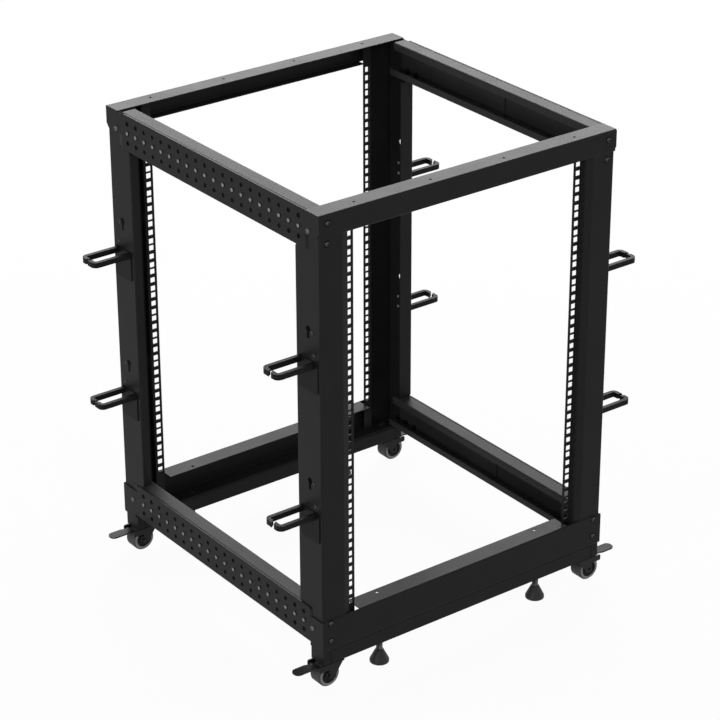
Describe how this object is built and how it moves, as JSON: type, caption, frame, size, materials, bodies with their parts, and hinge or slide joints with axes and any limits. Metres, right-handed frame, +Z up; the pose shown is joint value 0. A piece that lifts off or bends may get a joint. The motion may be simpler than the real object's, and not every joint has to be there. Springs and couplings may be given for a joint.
{
  "type": "four post open frame rack",
  "caption": "Open frame equipment rack with square-hole posts, perforated side rails, cable hooks, swivel casters with brakes and levelling feet.",
  "frame": {"origin": "on the floor under the middle of the frame", "axes": "+Z up, -Y towards the front, +X to the right seen from the front"},
  "size_m": [0.744, 0.6, 0.8444],
  "materials": {
    "black_powder_coat": "satin",
    "black_hook_coat": "satin",
    "dark_caster_steel": "satin",
    "wheel_rubber": "matte",
    "pedal_steel": "satin",
    "foot_plastic": "matte"
  },
  "bodies": {
    "frame": {"top_beam_front": "black_powder_coat", "bottom_beam_front": "black_powder_coat", "foot_channel_front": "black_powder_coat", "post_front_left": "black_powder_coat", "cable_hooks_front_left": "black_hook_coat", "caster_mount_front_left": "dark_caster_steel", "post_front_right": "black_powder_coat", "cable_hooks_front_right": "black_hook_coat", "caster_mount_front_right": "dark_caster_steel", "top_beam_rear": "black_powder_coat", "bottom_beam_rear": "black_powder_coat", "foot_channel_rear": "black_powder_coat", "post_rear_left": "black_powder_coat", "cable_hooks_rear_left": "black_hook_coat", "caster_mount_rear_left": "dark_caster_steel", "post_rear_right": "black_powder_coat", "cable_hooks_rear_right": "black_hook_coat", "caster_mount_rear_right": "dark_caster_steel", "top_rail_front_half_left": "black_powder_coat", "top_rail_rear_half_left": "black_powder_coat", "top_rail_plate_left": "black_powder_coat", "top_rail_front_half_right": "black_powder_coat", "top_rail_rear_half_right": "black_powder_coat", "top_rail_plate_right": "black_powder_coat", "bottom_rail_front_half_left": "black_powder_coat", "bottom_rail_rear_half_left": "black_powder_coat", "bottom_rail_plate_left": "black_powder_coat", "bottom_rail_front_half_right": "black_powder_coat", "bottom_rail_rear_half_right": "black_powder_coat", "bottom_rail_plate_right": "black_powder_coat"},
    "swivel_front_left": {"caster_fork_front_left": "dark_caster_steel"},
    "wheel_front_left": {"caster_wheel_front_left": "wheel_rubber"},
    "pedal_front_left": {"brake_pedal_front_left": "pedal_steel"},
    "foot_front_left": {"levelling_foot_front_left": "foot_plastic"},
    "swivel_front_right": {"caster_fork_front_right": "dark_caster_steel"},
    "wheel_front_right": {"caster_wheel_front_right": "wheel_rubber"},
    "pedal_front_right": {"brake_pedal_front_right": "pedal_steel"},
    "foot_front_right": {"levelling_foot_front_right": "foot_plastic"},
    "swivel_rear_left": {"caster_fork_rear_left": "dark_caster_steel"},
    "wheel_rear_left": {"caster_wheel_rear_left": "wheel_rubber"},
    "pedal_rear_left": {"brake_pedal_rear_left": "pedal_steel"},
    "foot_rear_left": {"levelling_foot_rear_left": "foot_plastic"},
    "swivel_rear_right": {"caster_fork_rear_right": "dark_caster_steel"},
    "wheel_rear_right": {"caster_wheel_rear_right": "wheel_rubber"},
    "pedal_rear_right": {"brake_pedal_rear_right": "pedal_steel"},
    "foot_rear_right": {"levelling_foot_rear_right": "foot_plastic"}
  },
  "joints": [
    {"name": "caster_swivel_front_left", "type": "hinge", "parent": "frame", "child": "swivel_front_left", "pos_m": [-0.264, -0.2805, 0.058], "axis": [0, 0, 1], "continuous": true},
    {"name": "wheel_roll_front_left", "type": "hinge", "parent": "swivel_front_left", "child": "wheel_front_left", "pos_m": [-0.283, -0.2805, 0.0213], "axis": [0, 1, 0], "continuous": true},
    {"name": "brake_pedal_press_front_left", "type": "hinge", "parent": "swivel_front_left", "child": "pedal_front_left", "pos_m": [-0.302, -0.2805, 0.0393], "axis": [0, -1, 0], "range_deg": [0, 30]},
    {"name": "foot_level_front_left", "type": "slide", "parent": "frame", "child": "foot_front_left", "axis": [0, 0, 1], "range_m": [-0.008, 0.015]},
    {"name": "caster_swivel_front_right", "type": "hinge", "parent": "frame", "child": "swivel_front_right", "pos_m": [0.264, -0.2805, 0.058], "axis": [0, 0, 1], "continuous": true},
    {"name": "wheel_roll_front_right", "type": "hinge", "parent": "swivel_front_right", "child": "wheel_front_right", "pos_m": [0.283, -0.2805, 0.0213], "axis": [0, 1, 0], "continuous": true},
    {"name": "brake_pedal_press_front_right", "type": "hinge", "parent": "swivel_front_right", "child": "pedal_front_right", "pos_m": [0.302, -0.2805, 0.0393], "axis": [0, 1, 0], "range_deg": [0, 30]},
    {"name": "foot_level_front_right", "type": "slide", "parent": "frame", "child": "foot_front_right", "axis": [0, 0, 1], "range_m": [-0.008, 0.015]},
    {"name": "caster_swivel_rear_left", "type": "hinge", "parent": "frame", "child": "swivel_rear_left", "pos_m": [-0.264, 0.2805, 0.058], "axis": [0, 0, 1], "continuous": true},
    {"name": "wheel_roll_rear_left", "type": "hinge", "parent": "swivel_rear_left", "child": "wheel_rear_left", "pos_m": [-0.283, 0.2805, 0.0213], "axis": [0, 1, 0], "continuous": true},
    {"name": "brake_pedal_press_rear_left", "type": "hinge", "parent": "swivel_rear_left", "child": "pedal_rear_left", "pos_m": [-0.302, 0.2805, 0.0393], "axis": [0, -1, 0], "range_deg": [0, 30]},
    {"name": "foot_level_rear_left", "type": "slide", "parent": "frame", "child": "foot_rear_left", "axis": [0, 0, 1], "range_m": [-0.008, 0.015]},
    {"name": "caster_swivel_rear_right", "type": "hinge", "parent": "frame", "child": "swivel_rear_right", "pos_m": [0.264, 0.2805, 0.058], "axis": [0, 0, 1], "continuous": true},
    {"name": "wheel_roll_rear_right", "type": "hinge", "parent": "swivel_rear_right", "child": "wheel_rear_right", "pos_m": [0.283, 0.2805, 0.0213], "axis": [0, 1, 0], "continuous": true},
    {"name": "brake_pedal_press_rear_right", "type": "hinge", "parent": "swivel_rear_right", "child": "pedal_rear_right", "pos_m": [0.302, 0.2805, 0.0393], "axis": [0, 1, 0], "range_deg": [0, 30]},
    {"name": "foot_level_rear_right", "type": "slide", "parent": "frame", "child": "foot_rear_right", "axis": [0, 0, 1], "range_m": [-0.008, 0.015]}
  ]
}
